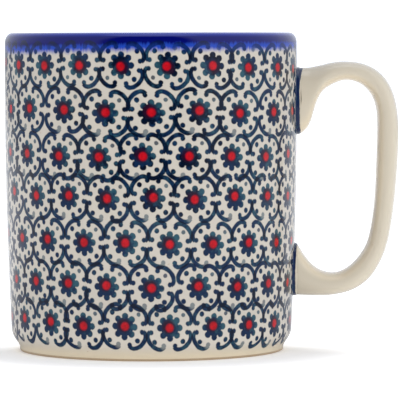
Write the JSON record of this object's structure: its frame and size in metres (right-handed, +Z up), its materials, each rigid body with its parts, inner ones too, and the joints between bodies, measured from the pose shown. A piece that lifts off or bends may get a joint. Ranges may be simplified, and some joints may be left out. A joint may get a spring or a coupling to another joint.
{
  "type": "stoneware mug",
  "caption": "Straight-sided glazed stoneware mug with a luted strap handle, dark rim band and stamped flower-and-scroll underglaze decoration.",
  "frame": {"origin": "centre of the foot ring, on the surface the mug stands on, on the axis of the cup", "axes": "+Z up along the cup's axis, +X from the axis out through the handle, Y across the handle"},
  "size_m": [0.1218, 0.0904, 0.098],
  "materials": {
    "decorated_glaze": "clear glossy glaze over a cream body with dark blue, blue-green and red stamped underglaze colour",
    "plain_glaze": "clear glossy glaze over the bare cream body",
    "joint_glaze": "clear glossy glaze over hand-painted dark blue"
  },
  "bodies": {
    "root": {"mug_body": "decorated_glaze", "handle": "plain_glaze", "upper_handle_joint": "joint_glaze", "lower_handle_joint": "joint_glaze"}
  },
  "joints": []
}
